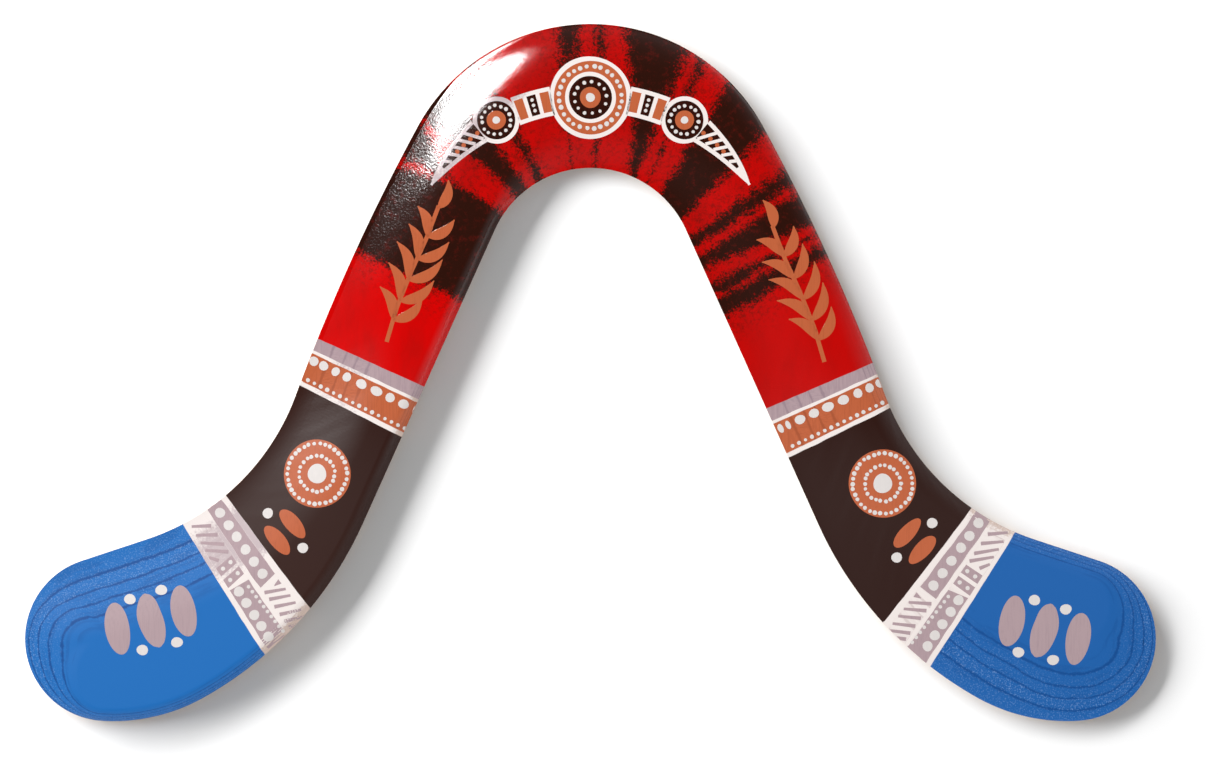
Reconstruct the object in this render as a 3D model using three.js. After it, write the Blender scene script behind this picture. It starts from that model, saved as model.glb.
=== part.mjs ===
// A returning boomerang cut from five-ply wood: five veneers and the four glue lines between them.
// Millimetres, +Z up. The flat underside lies on Z = 0, the elbow points along +Y and the tips
// reach out along X. The origin is the middle of the plan, on the underside.
// It is a right-hander's boomerang. Seen from above with the elbow away, the left arm trails with
// its outer edge and the right arm with its inner edge, and those edges are sanded to a feather.
// The skill is in the section: one shaping cuts all the veneers, so each bevel shows its plies.

import * as THREE from "three";

// The plan, walked from the apex of the elbow down the outer edge, round the tip and back up
// the inner edge. The right arm mirrors the left.
const elbowOuterRadius = 69.5;
const elbowOuterTurnDegrees = 61.5;
const armOuterLength = 104.5;
const armOuterTurnDegrees = 8.2;
const waistRadius = 84;
const waistTurnDegrees = 51.4;
const tipApproachLength = 24.5;
const tipRadius = 29;
const tipTurnDegrees = 158;
const shoulderRadius = 65;
const shoulderTurnDegrees = 33;
const sweepRadius = 133;
const sweepTurnDegrees = 36.5;
const elbowInnerRadius = 37;

// The plywood.
const veneerThickness = 1.12;
const glueThickness = 0.1;

// How far each kind of edge is sanded in from the outline, on the upper side.
const trailingTaper = 29;
const tipTaper = 25;
const leftLeadingTaper = 5;
const rightLeadingTaper = 8;

// Heights of the blunt rim left under each taper, and of the rounding under it, as shares
// of the lowest veneer.
const trailingRimShare = 0.42;
const tipRimShare = 0.55;
const leadingRimShare = 0.85;
const undersideRoundShare = 0.35;

// How finely the curves are followed.
const longestStep = 9;
const widestTurnDegrees = 7;
const undersideRoundSteps = 2;
const lowestTaperSteps = 3;
const middleTaperSteps = 2;
const highestTaperSteps = 4;

const veneerCount = 5;
const thickness = veneerCount * veneerThickness + (veneerCount - 1) * glueThickness;
const undersideRound = undersideRoundShare * veneerThickness;

const { degToRad, lerp, smoothstep } = THREE.MathUtils;

// A stretch of outline: its length, and how far it turns to the left along it.
function leftCurve(radius, turnDegrees) {
  const turn = degToRad(turnDegrees);
  return { length: radius * turn, turn };
}

function rightCurve(radius, turnDegrees) {
  const turn = degToRad(turnDegrees);
  return { length: radius * turn, turn: -turn };
}

// The pose reached after going a distance along a stretch from a starting pose.
function poseAlong(start, stretch, share) {
  const gone = stretch.length * share;
  const heading = start.heading + stretch.turn * share;
  if (stretch.turn === 0) {
    return {
      x: start.x + gone * Math.cos(heading),
      y: start.y + gone * Math.sin(heading),
      heading,
    };
  }
  const radius = stretch.length / stretch.turn;
  return {
    x: start.x + radius * (Math.sin(heading) - Math.sin(start.heading)),
    y: start.y - radius * (Math.cos(heading) - Math.cos(start.heading)),
    heading,
  };
}

function poseAfter(start, stretches) {
  return stretches.reduce((pose, stretch) => poseAlong(pose, stretch, 1), start);
}

// The last straight is as long as it takes to bring the inner elbow onto the middle line.
function halfPlan() {
  const apex = { x: 0, y: 0, heading: Math.PI };
  const halfTip = leftCurve(tipRadius, tipTurnDegrees / 2);
  const aroundTip = [
    leftCurve(elbowOuterRadius, elbowOuterTurnDegrees),
    { length: armOuterLength, turn: degToRad(armOuterTurnDegrees) },
    rightCurve(waistRadius, waistTurnDegrees),
    { length: tipApproachLength, turn: 0 },
    halfTip,
    halfTip,
    leftCurve(shoulderRadius, shoulderTurnDegrees),
    leftCurve(sweepRadius, sweepTurnDegrees),
  ];
  const armFoot = poseAfter(apex, aroundTip);
  const elbowTurn = armFoot.heading - 2 * Math.PI;
  const elbowReach = elbowInnerRadius * Math.sin(elbowTurn);
  const straightLength = (-armFoot.x - elbowReach) / Math.cos(armFoot.heading);
  const straight = { length: straightLength, turn: 0 };
  const innerElbow = { length: elbowInnerRadius * elbowTurn, turn: -elbowTurn };
  return { apex, stretches: [...aroundTip, straight, innerElbow] };
}

// The kinds of edge. A convex taper bulges up from its rim, and a feathered one starts out flat.
const trailing = {
  taper: trailingTaper,
  feathered: 1,
  rim: trailingRimShare * veneerThickness,
};
const tip = {
  taper: tipTaper,
  feathered: 0,
  rim: tipRimShare * veneerThickness,
};
const leftLeading = {
  taper: leftLeadingTaper,
  feathered: 0,
  rim: leadingRimShare * veneerThickness,
};
const rightLeading = { ...leftLeading, taper: rightLeadingTaper };

function mixEdges(a, b, share) {
  return {
    taper: lerp(a.taper, b.taper, share),
    feathered: lerp(a.feathered, b.feathered, share),
    rim: lerp(a.rim, b.rim, share),
  };
}

const halfWayShare = 0.5;
const outerElbow = mixEdges(trailing, rightLeading, halfWayShare);
const innerElbow = mixEdges(trailing, leftLeading, halfWayShare);
const behindRightTip = mixEdges(tip, trailing, halfWayShare);

// The edge at each end of each stretch of the plan, from the apex round to the inner elbow.
const leftEdges = [
  outerElbow,
  trailing,
  trailing,
  trailing,
  trailing,
  tip,
  leftLeading,
  leftLeading,
  leftLeading,
  leftLeading,
  innerElbow,
];
const rightEdges = [
  outerElbow,
  rightLeading,
  rightLeading,
  rightLeading,
  rightLeading,
  tip,
  behindRightTip,
  trailing,
  trailing,
  trailing,
  innerElbow,
];

// One station of the outline: its place, the way into the wood and the kind of edge there.
function station(pose, side, edge) {
  return {
    x: side * pose.x,
    y: pose.y,
    inwardX: -side * Math.sin(pose.heading),
    inwardY: Math.cos(pose.heading),
    edge,
  };
}

function halfOutline(side, edges) {
  const { apex, stretches } = halfPlan();
  const stations = [];
  let start = apex;
  stretches.forEach((stretch, index) => {
    const bySize = stretch.length / longestStep;
    const byTurn = Math.abs(stretch.turn) / degToRad(widestTurnDegrees);
    const steps = Math.ceil(Math.max(bySize, byTurn));
    for (let step = 0; step < steps; step += 1) {
      const share = step / steps;
      const blend = smoothstep(share, 0, 1);
      const edge = mixEdges(edges[index], edges[index + 1], blend);
      stations.push(station(poseAlong(start, stretch, share), side, edge));
    }
    start = poseAlong(start, stretch, 1);
  });
  stations.push(station(start, side, edges[edges.length - 1]));
  return stations;
}

// The whole outline, counter-clockwise from the apex, moved so that its box is centred.
function wholeOutline() {
  const left = halfOutline(1, leftEdges);
  const right = halfOutline(-1, rightEdges).slice(1, -1).reverse();
  const stations = [...left, ...right];
  const heights = stations.map((s) => s.y);
  const middle = (Math.max(...heights) + Math.min(...heights)) / 2;
  return stations.map((s) => ({ ...s, y: s.y - middle }));
}

const outline = wholeOutline();
const leftTip = outline.reduce((best, s, i) => (s.x < outline[best].x ? i : best), 0);
const rightTip = outline.length - leftTip;

// How far in from the outline the shaped upper side lies, once it has risen a share of the way
// from the rim to the face: a parabola, or the inverse of a smooth step where it is feathered.
function taperShare(risen, feathered) {
  const convex = 1 - Math.sqrt(1 - risen);
  const smooth = 1 / 2 - Math.sin(Math.asin(1 - 2 * risen) / 3);
  return lerp(convex, smooth, feathered);
}

function insetAt(height, edge) {
  if (height < undersideRound) {
    const drop = 1 - height / undersideRound;
    return undersideRound * (1 - Math.sqrt(1 - drop * drop));
  }
  if (height <= edge.rim) {
    return 0;
  }
  const risen = Math.min(1, (height - edge.rim) / (thickness - edge.rim));
  return edge.taper * taperShare(risen, edge.feathered);
}

// A ring of points round the wood, at a height that may follow the rim.
function ringAt(heightOf) {
  return outline.map((s) => {
    const height = heightOf(s.edge);
    const inset = insetAt(height, s.edge);
    return new THREE.Vector3(s.x + inset * s.inwardX, s.y + inset * s.inwardY, height);
  });
}

function levelRing(height) {
  return ringAt(() => height);
}

// Heights from one level to another, in even steps, or in steps that close up towards one of
// them, where the taper runs out flat.
function evenHeights(from, to, steps) {
  return Array.from({ length: steps + 1 }, (_, i) => lerp(from, to, i / steps));
}

function closingHeights(far, near, steps) {
  return Array.from({ length: steps + 1 }, (_, i) => lerp(near, far, (1 - i / steps) ** 2));
}

// The lowest veneer: the rounded arris, the rim and the foot of the taper.
function lowestRings(top) {
  const rounded = closingHeights(undersideRound, 0, undersideRoundSteps).reverse();
  const rings = rounded.map(levelRing);
  for (let i = 0; i <= lowestTaperSteps; i += 1) {
    const risen = (i / lowestTaperSteps) ** 2;
    rings.push(ringAt((edge) => lerp(edge.rim, top, risen)));
  }
  return rings;
}

// The faces that close a ring: a ladder of triangles from the left tip to the right tip, which
// goes up the outer and the inner edge together by the shorter rung. At the tips, where both
// edges start from one point, a rung of no length makes no face.
function ladder(ring) {
  const count = ring.length;
  const faces = [];
  let outer = leftTip;
  let inner = leftTip;
  while (outer !== rightTip || inner !== rightTip) {
    const nextOuter = (outer + count - 1) % count;
    const nextInner = inner + 1;
    const outerRung = ring[nextOuter].distanceTo(ring[inner]);
    const innerRung = ring[outer].distanceTo(ring[nextInner]);
    const goOuter = inner === rightTip || (outer !== rightTip && outerRung < innerRung);
    if (goOuter) {
      faces.push([nextOuter, outer, inner]);
      outer = nextOuter;
    } else {
      faces.push([inner, nextInner, outer]);
      inner = nextInner;
    }
  }
  return faces.filter((face) => new Set(face).size === face.length);
}

// A closed solid through a stack of rings, from the lowest to the highest.
function stackedSolid(rings) {
  const count = outline.length;
  const top = (rings.length - 1) * count;
  const faces = ladder(rings[0]).map(([a, b, c]) => [c, b, a]);
  for (let row = 0; row < top; row += count) {
    for (let i = 0; i < count; i += 1) {
      const next = (i + 1) % count;
      faces.push([row + i, row + next, row + count + next]);
      faces.push([row + i, row + count + next, row + count + i]);
    }
  }
  ladder(rings[rings.length - 1]).forEach((face) => {
    faces.push(face.map((index) => top + index));
  });
  const geometry = new THREE.BufferGeometry().setFromPoints(rings.flat());
  geometry.setIndex(faces.flat());
  geometry.computeVertexNormals();
  return geometry;
}

// The pieces. The bare wood shows on the underside, and lacquered paint covers the rest.
const bareWood = new THREE.MeshStandardMaterial({
  color: 0xc9a070,
  roughness: 0.45,
  metalness: 0,
});
const bluePaint = new THREE.MeshStandardMaterial({
  color: 0x2b72bd,
  roughness: 0.3,
  metalness: 0,
});
const blackPaint = new THREE.MeshStandardMaterial({
  color: 0x35211c,
  roughness: 0.25,
  metalness: 0,
});
const redPaint = new THREE.MeshStandardMaterial({
  color: 0xa81a12,
  roughness: 0.25,
  metalness: 0,
});
const glue = new THREE.MeshStandardMaterial({
  color: 0x1d2733,
  roughness: 0.5,
  metalness: 0,
});

const veneers = [
  { name: "back_veneer", material: bareWood },
  { name: "lower_crossband", material: bluePaint },
  { name: "core_veneer", material: blackPaint },
  { name: "upper_crossband", material: blackPaint },
  { name: "face_veneer", material: redPaint },
];
const glueLines = [
  "back_glue_line",
  "lower_glue_line",
  "upper_glue_line",
  "face_glue_line",
];

function namedPiece(name, rings, material) {
  const mesh = new THREE.Mesh(stackedSolid(rings), material);
  mesh.name = name;
  return mesh;
}

function veneerRings(index, bottom, top) {
  if (index === 0) {
    return lowestRings(top);
  }
  if (index === veneerCount - 1) {
    return closingHeights(bottom, top, highestTaperSteps).map(levelRing);
  }
  return evenHeights(bottom, top, middleTaperSteps).map(levelRing);
}

const boomerang = new THREE.Group();
let level = 0;
veneers.forEach(({ name, material }, index) => {
  const top = level + veneerThickness;
  boomerang.add(namedPiece(name, veneerRings(index, level, top), material));
  if (index < glueLines.length) {
    const rings = [levelRing(top), levelRing(top + glueThickness)];
    boomerang.add(namedPiece(glueLines[index], rings, glue));
  }
  level = top + glueThickness;
});

export default boomerang;
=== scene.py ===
import math
import random

import bpy
import numpy as np
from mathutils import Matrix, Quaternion, Vector
from mathutils.bvhtree import BVHTree


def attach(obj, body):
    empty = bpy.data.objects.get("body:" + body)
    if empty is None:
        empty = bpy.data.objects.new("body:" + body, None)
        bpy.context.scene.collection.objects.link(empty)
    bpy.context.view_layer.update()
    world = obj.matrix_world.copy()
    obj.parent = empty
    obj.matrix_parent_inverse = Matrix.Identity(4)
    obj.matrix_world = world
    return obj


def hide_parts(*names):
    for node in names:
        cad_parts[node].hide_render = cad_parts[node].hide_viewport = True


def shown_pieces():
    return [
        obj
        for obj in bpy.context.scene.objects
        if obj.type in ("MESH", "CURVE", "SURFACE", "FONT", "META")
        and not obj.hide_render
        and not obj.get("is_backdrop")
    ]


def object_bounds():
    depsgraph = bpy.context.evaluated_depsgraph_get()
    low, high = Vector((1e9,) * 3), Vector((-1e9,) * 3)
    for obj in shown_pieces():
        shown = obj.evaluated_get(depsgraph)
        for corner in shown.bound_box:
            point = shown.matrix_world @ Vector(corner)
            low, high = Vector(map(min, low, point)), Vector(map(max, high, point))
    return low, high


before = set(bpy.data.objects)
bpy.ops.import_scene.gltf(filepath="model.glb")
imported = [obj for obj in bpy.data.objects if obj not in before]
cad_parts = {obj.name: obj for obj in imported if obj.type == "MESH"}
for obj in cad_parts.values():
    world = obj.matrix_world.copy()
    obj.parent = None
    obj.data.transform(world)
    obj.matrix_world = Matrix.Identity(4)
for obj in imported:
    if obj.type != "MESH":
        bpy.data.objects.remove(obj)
cad_low, cad_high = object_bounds()

MILLIMETRE = 0.001
BODY = "root"

# The photograph, and the blade's box in it
PHOTO_WIDTH = 1219
PHOTO_HEIGHT = 775
BLADE_LEFT_PIXEL = 25.1
BLADE_RIGHT_PIXEL = 1155.7
BLADE_TOP_PIXEL = 24.0
PIXEL = (cad_high.x - cad_low.x) / MILLIMETRE / (BLADE_RIGHT_PIXEL - BLADE_LEFT_PIXEL)

# The plan, walked from the apex of the elbow down the outer edge, round the tip and back up
ELBOW_OUTER_RADIUS = 69.5
ELBOW_OUTER_TURN_DEGREES = 61.5
ARM_OUTER_LENGTH = 104.5
ARM_OUTER_TURN_DEGREES = 8.2
WAIST_RADIUS = 84
WAIST_TURN_DEGREES = 51.4
TIP_APPROACH_LENGTH = 24.5
TIP_RADIUS = 29
TIP_TURN_DEGREES = 158
SHOULDER_RADIUS = 65
SHOULDER_TURN_DEGREES = 33
SWEEP_RADIUS = 133
SWEEP_TURN_DEGREES = 36.5
ELBOW_INNER_RADIUS = 37

# The plywood and its shaping
VENEER_THICKNESS = 1.12
GLUE_THICKNESS = 0.1
VENEER_COUNT = 5
THICKNESS = VENEER_COUNT * VENEER_THICKNESS + (VENEER_COUNT - 1) * GLUE_THICKNESS
TRAILING_TAPER = 29
TIP_TAPER = 25
LEFT_LEADING_TAPER = 5
RIGHT_LEADING_TAPER = 8
TRAILING_RIM = 0.42 * VENEER_THICKNESS
TIP_RIM = 0.55 * VENEER_THICKNESS
LEADING_RIM = 0.85 * VENEER_THICKNESS
UNDERSIDE_ROUND = 0.35 * VENEER_THICKNESS

# How finely the pieces are drawn
STATION_STEP = 1.0
ROUND_ROWS = 5
FOOT_ROWS = 10
PLY_ROWS = 5
FACE_ROWS = 14
GLUE_GROOVE = 0.02

# Slow waves that hand sanding leaves in the bevels, less of them at the elbow: how many go round the
# blade, how deep each is, where it starts and how it leans with height
SANDING_WAVES = ((47, 0.20, 0.4, 1.1), (113, 0.12, 2.1, 2.3), (229, 0.07, 4.0, 3.9))
SANDING_FADE = (-45, 20)
SANDING_AT_ELBOW = 0.2


def plan(pixel):
    """A pixel of the photograph as a place on the plan."""
    across, down = pixel
    return np.array(
        [
            cad_low.x / MILLIMETRE + (across - BLADE_LEFT_PIXEL) * PIXEL,
            cad_high.y / MILLIMETRE - (down - BLADE_TOP_PIXEL) * PIXEL,
        ]
    )


# The outline
def curve(radius, turn_degrees):
    """A stretch on an arc, as its length and its turn, which is under zero to the right."""
    turn = math.radians(turn_degrees)
    return radius * abs(turn), turn


def pose_along(start, stretch, share):
    """The place and heading reached after a share of a stretch, which is a length and a turn."""
    x, y, heading = start
    length, turn = stretch
    turned = heading + turn * share
    if turn == 0:
        gone = length * share
        return x + gone * math.cos(heading), y + gone * math.sin(heading), heading
    radius = length / turn
    east = radius * (math.sin(turned) - math.sin(heading))
    north = -radius * (math.cos(turned) - math.cos(heading))
    return x + east, y + north, turned


def half_plan():
    """The stretches of the left half. The last straight brings the inner elbow to the middle."""
    half_tip = curve(TIP_RADIUS, TIP_TURN_DEGREES / 2)
    stretches = [
        curve(ELBOW_OUTER_RADIUS, ELBOW_OUTER_TURN_DEGREES),
        (ARM_OUTER_LENGTH, math.radians(ARM_OUTER_TURN_DEGREES)),
        curve(WAIST_RADIUS, -WAIST_TURN_DEGREES),
        (TIP_APPROACH_LENGTH, 0),
        half_tip,
        half_tip,
        curve(SHOULDER_RADIUS, SHOULDER_TURN_DEGREES),
        curve(SWEEP_RADIUS, SWEEP_TURN_DEGREES),
    ]
    pose = (0, 0, math.pi)
    for stretch in stretches:
        pose = pose_along(pose, stretch, 1)
    elbow_turn = pose[2] - 2 * math.pi
    elbow_reach = ELBOW_INNER_RADIUS * math.sin(elbow_turn)
    straight = (-pose[0] - elbow_reach) / math.cos(pose[2])
    inner_elbow = (ELBOW_INNER_RADIUS * elbow_turn, -elbow_turn)
    return [*stretches, (straight, 0), inner_elbow]


# The kinds of edge: how far in the taper runs, whether it starts out flat, and its blunt rim
TRAILING = np.array([TRAILING_TAPER, 1, TRAILING_RIM])
TIP = np.array([TIP_TAPER, 0, TIP_RIM])
LEFT_LEADING = np.array([LEFT_LEADING_TAPER, 0, LEADING_RIM])
RIGHT_LEADING = np.array([RIGHT_LEADING_TAPER, 0, LEADING_RIM])
OUTER_ELBOW = (TRAILING + RIGHT_LEADING) / 2
INNER_ELBOW = (TRAILING + LEFT_LEADING) / 2
BEHIND_RIGHT_TIP = (TIP + TRAILING) / 2
LEFT_EDGES = [OUTER_ELBOW, *[TRAILING] * 4, TIP, *[LEFT_LEADING] * 4, INNER_ELBOW]
RIGHT_EDGES = [OUTER_ELBOW, *[RIGHT_LEADING] * 4, TIP, BEHIND_RIGHT_TIP, *[TRAILING] * 3, INNER_ELBOW]


def half_outline(side, edges):
    """Rows of x, y, the way into the wood and the kind of edge, from the apex to the crook."""
    rows = []

    def add_row(pose, edge):
        x, y, heading = pose
        rows.append([side * x, y, -side * math.sin(heading), math.cos(heading), *edge])

    start = (0, 0, math.pi)
    for index, stretch in enumerate(half_plan()):
        steps = math.ceil(stretch[0] / STATION_STEP)
        for step in range(steps):
            share = step / steps
            blend = share * share * (3 - 2 * share)
            edge = edges[index] * (1 - blend) + edges[index + 1] * blend
            add_row(pose_along(start, stretch, share), edge)
        start = pose_along(start, stretch, 1)
    add_row(start, edges[-1])
    return rows


left_rows = half_outline(1, LEFT_EDGES)
right_rows = half_outline(-1, RIGHT_EDGES)[1:-1]
outline = np.array(left_rows + right_rows[::-1])
PLACE = outline[:, 0:2] + [0, cad_high.y / MILLIMETRE]
INWARD = outline[:, 2:4]
TAPER, FEATHERED, RIM = outline[:, 4:7].T
STATIONS = len(outline)
LEFT_TIP = int(np.argmin(PLACE[:, 0]))
RIGHT_TIP = STATIONS - LEFT_TIP


# The section
def sanding(risen, height):
    """Small waves in the bevel, none at its foot and its top."""
    turn = np.arange(STATIONS) / STATIONS * 2 * math.pi
    waves = sum(
        depth * np.sin(count * turn + start + lean * height)
        for count, depth, start, lean in SANDING_WAVES
    )
    amount = np.interp(PLACE[:, 1], SANDING_FADE, (1, SANDING_AT_ELBOW))
    return waves * amount * 4 * risen * (1 - risen) * TAPER / TRAILING_TAPER


def inset(height):
    """How far in from the outline the shaped side lies, at one height or at one for each station."""
    risen = np.clip((height - RIM) / (THICKNESS - RIM), 0, 1)
    convex = 1 - np.sqrt(1 - risen)
    smooth = 0.5 - np.sin(np.arcsin(1 - 2 * risen) / 3)
    taper = TAPER * (convex * (1 - FEATHERED) + smooth * FEATHERED)
    drop = np.clip(1 - height / UNDERSIDE_ROUND, 0, 1)
    rounding = UNDERSIDE_ROUND * (1 - np.sqrt(1 - drop * drop))
    return taper + rounding + sanding(risen, height)


def ring(height, groove=0):
    heights = np.broadcast_to(height, STATIONS)
    reach = (inset(heights) + groove)[:, None]
    return np.column_stack([PLACE + reach * INWARD, heights])


def closing_heights(far, near, rows):
    """Heights from far to near, in steps that close up towards near."""
    return [near + (far - near) * (1 - row / rows) ** 2 for row in range(rows + 1)]


def foot_rings(top):
    rings = [ring(height) for height in closing_heights(UNDERSIDE_ROUND, 0, ROUND_ROWS)[::-1]]
    for row in range(FOOT_ROWS + 1):
        risen = (row / FOOT_ROWS) ** 2
        rings.append(ring(RIM + (top - RIM) * risen))
    return rings


def ladder(points):
    """Triangles that close a ring, going from tip to tip by the shorter rung."""
    faces = []
    outer = inner = LEFT_TIP
    while outer != RIGHT_TIP or inner != RIGHT_TIP:
        next_outer = (outer - 1) % STATIONS
        next_inner = inner + 1
        if inner == RIGHT_TIP:
            go_outer = True
        elif outer == RIGHT_TIP:
            go_outer = False
        else:
            outer_rung = np.linalg.norm(points[next_outer] - points[inner])
            inner_rung = np.linalg.norm(points[outer] - points[next_inner])
            go_outer = outer_rung < inner_rung
        if go_outer:
            faces.append((next_outer, outer, inner))
            outer = next_outer
        else:
            faces.append((inner, next_inner, outer))
            inner = next_inner
    return [face for face in faces if len(set(face)) == 3]


def stacked_faces(rings):
    """The closed skin of a stack of rings, from the lowest to the highest."""
    top = (len(rings) - 1) * STATIONS
    faces = [face[::-1] for face in ladder(rings[0])]
    for row in range(0, top, STATIONS):
        for station in range(STATIONS):
            following = (station + 1) % STATIONS
            above = row + STATIONS
            faces.append((row + station, row + following, above + following, above + station))
    faces.extend(tuple(top + index for index in face) for face in ladder(rings[-1]))
    return faces


# Making pieces
skin_points = []
skin_faces = []


def placed(name, data):
    """A new object in the scene."""
    made = bpy.data.objects.new(name, data)
    bpy.context.scene.collection.objects.link(made)
    return made


def add_piece(name, points, faces, material):
    """A smooth mesh in metres that rides on the body, with its material."""
    mesh = bpy.data.meshes.new(name)
    mesh.from_pydata((np.asarray(points) * MILLIMETRE).tolist(), [], faces)
    mesh.shade_smooth()
    mesh.materials.append(material)
    piece = placed(name, mesh)
    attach(piece, BODY)
    return piece


def sharpen_rings(mesh, sharp_rows):
    """Keeps the arrises crisp: edges that run along the named rings are sharp."""
    ends = np.zeros(len(mesh.edges) * 2, int)
    mesh.edges.foreach_get("vertices", ends)
    rows = ends.reshape(-1, 2) // STATIONS
    along = rows[:, 0] == rows[:, 1]
    sharp = along & np.isin(rows[:, 0], sharp_rows)
    attribute = mesh.attributes.new("sharp_edge", "BOOLEAN", "EDGE")
    attribute.data.foreach_set("value", sharp)


def add_layer(node, rings, material, sharp_rows):
    """The fine form of one ply or glue line, in place of its solid."""
    faces = stacked_faces(rings)
    points = np.concatenate(rings)
    piece = add_piece(node + "_fine", points, faces, material)
    sharpen_rings(piece.data, sharp_rows)
    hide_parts(node)
    first = sum(len(block) for block in skin_points)
    skin_points.append(points)
    skin_faces.extend(tuple(first + index for index in face) for face in faces)


# Shaders
def linear(red, green, blue):
    """A colour given in the usual 0 to 255 steps, as the linear values that nodes take."""
    steps = [channel / 255 for channel in (red, green, blue)]
    curve = [s / 12.92 if s <= 0.04045 else ((s + 0.055) / 1.055) ** 2.4 for s in steps]
    return (*curve, 1.0)


BLUE = linear(24, 109, 187)
# Partly a deeper blue and partly painted shade: the right tip's blue is darker, as the right side
# lies further from the light
RIGHT_BLUE = linear(24, 98, 174)
DEEP_BLUE = linear(6, 78, 150)
# Pale flecks on the bevels: sanded grain, and partly painted glints of light
PALE_BLUE_GRAIN_AND_GLINT = linear(120, 160, 214)
BLACK_BROWN = linear(45, 17, 9)
# Painted sheen: the black fields are painted lighter towards the left arm's end
LEFT_SHEEN_BLACK = linear(52, 25, 18)
WORN_BLACK = linear(92, 20, 14)
# Painted light: the red is painted brighter towards the left arm, which lies nearer the light
LEFT_LIT_RED = linear(217, 0, 0)
RED = linear(196, 6, 4)
DEEP_RED = linear(160, 12, 8)
OCHRE = linear(194, 100, 62)
DEEP_OCHRE = linear(160, 78, 46)
MAUVE = linear(180, 156, 161)
DEEP_MAUVE = linear(146, 124, 134)
CREAM = linear(244, 234, 230)
DEEP_CREAM = linear(206, 188, 186)
WHITE = linear(225, 219, 216)
WORN_WHITE = linear(184, 146, 120)
# Painted shade: the darker, lavender white of bevels that face north-west
SHADED_WHITE = linear(186, 167, 172)
PINE = linear(214, 176, 126)
PINE_GRAIN = linear(176, 126, 78)


class Value:
    """What a node gives, to be added, subtracted and multiplied like a plain number."""

    def __init__(self, shader, socket):
        self.shader = shader
        self.socket = socket

    def __add__(self, other):
        return self.shader.math("ADD", self, other)

    def __sub__(self, other):
        return self.shader.math("SUBTRACT", self, other)

    def __rsub__(self, other):
        return self.shader.math("SUBTRACT", other, self)

    def __mul__(self, other):
        return self.shader.math("MULTIPLY", self, other)

    def step(self, low, high, start=0.0, end=1.0):
        """A soft step from start to end, as the value goes from low to high."""
        inputs = dict(enumerate((self, low, high, start, end)))
        return self.shader.value("MapRange", inputs, interpolation_type="SMOOTHSTEP")


class Shader:
    """A material whose nodes are wired by plain calls, with places in millimetres."""

    def __init__(self, name):
        self.material = bpy.data.materials.new(name)
        self.material.use_nodes = True
        self.tree = self.material.node_tree
        self.tree.nodes.clear()
        metres = self.value("TexCoord", {}, "Object")
        self.place = self.stretched(metres, (1 / MILLIMETRE,) * 3)
        self.x, self.y, self.z = self.parts(self.place)

    def node(self, kind, inputs, **settings):
        """A new node, with its inputs given by their names or numbers."""
        made = self.tree.nodes.new("ShaderNode" + kind)
        for key, setting in settings.items():
            setattr(made, key, setting)
        for key, given in inputs.items():
            if isinstance(given, Value):
                self.tree.links.new(given.socket, made.inputs[key])
            else:
                made.inputs[key].default_value = given
        return made

    def value(self, kind, inputs, output=0, **settings):
        return Value(self, self.node(kind, inputs, **settings).outputs[output])

    def math(self, operation, *values):
        return self.value("Math", dict(enumerate(values)), operation=operation)

    def larger(self, a, b):
        return self.math("MAXIMUM", a, b)

    def smaller(self, a, b):
        return self.math("MINIMUM", a, b)

    def stretched(self, vector, factors):
        return self.value("VectorMath", {0: vector, 1: factors}, operation="MULTIPLY")

    def parts(self, vector):
        return [Value(self, output) for output in self.node("SeparateXYZ", {0: vector}).outputs]

    def facing(self):
        """The way that the surface faces, as its parts to the east, to the north and up."""
        return self.parts(self.value("NewGeometry", {}, "Normal"))

    def blend(self, factor, a, b):
        """One number that goes from a to b."""
        return self.value("Mix", {0: factor, 2: a, 3: b}, data_type="FLOAT")

    def mix(self, factor, a, b):
        """One colour that goes from a to b."""
        return self.value("Mix", {0: factor, 6: a, 7: b}, 2, data_type="RGBA")

    def noise(self, per_millimetre, detail, roughness, stretch=None):
        """Noise about as coarse as one over the given number of grains to a millimetre."""
        place = self.stretched(self.place, stretch) if stretch else self.place
        inputs = {"Vector": place, "Scale": per_millimetre, "Detail": detail, "Roughness": roughness}
        return self.value("TexNoise", inputs)

    def uneven(self, noise, amount):
        """Noise that goes from half the amount under zero to half the amount over it."""
        return (self.noise(*noise) - 0.5) * amount

    def finished(self, colour, roughness, specular_level, **others):
        """The material with its surface."""
        inputs = {"Base Color": colour, "Roughness": roughness, "Specular IOR Level": specular_level}
        surface = self.value("BsdfPrincipled", {**inputs, **others})
        self.node("OutputMaterial", {"Surface": surface})
        return self.material


# The lacquer. A noise is its number of grains to a millimetre, its detail, its roughness and for
# some a stretch. A rise or a range is where something comes in as a value goes from one end to the
# other, and a step also has the shares that it goes between.
GLOSS_RISE = (-60, 30)
DULL_ROUGHNESS = 0.6
GLOSSY_ROUGHNESS = 0.1
SPECULAR_LEVEL = 0.3
GRAIN = (1.0, 4.0, 0.6)
ALONG_Y = (2.4, 0.10, 2.4)
ALONG_X = (0.10, 2.4, 2.4)
GRAIN_DEPTH = 0.006
PEEL = (1.4, 1.0, 0.5)
PEEL_RISE = (0, 50)
ARM_PEEL_DEPTH = 0.018
PEEL_DEPTH = 0.032
SLOW_WAVES = (0.2, 2.0, 0.5)
SLOW_DEPTH = 0.008
SWELL_RANGE = (-10, 35)
SWELL_LEAST_RISE = 0.01


def wood_grain(shader, stretch):
    """Noise drawn out along the grain."""
    return shader.noise(*GRAIN, stretch)


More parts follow.
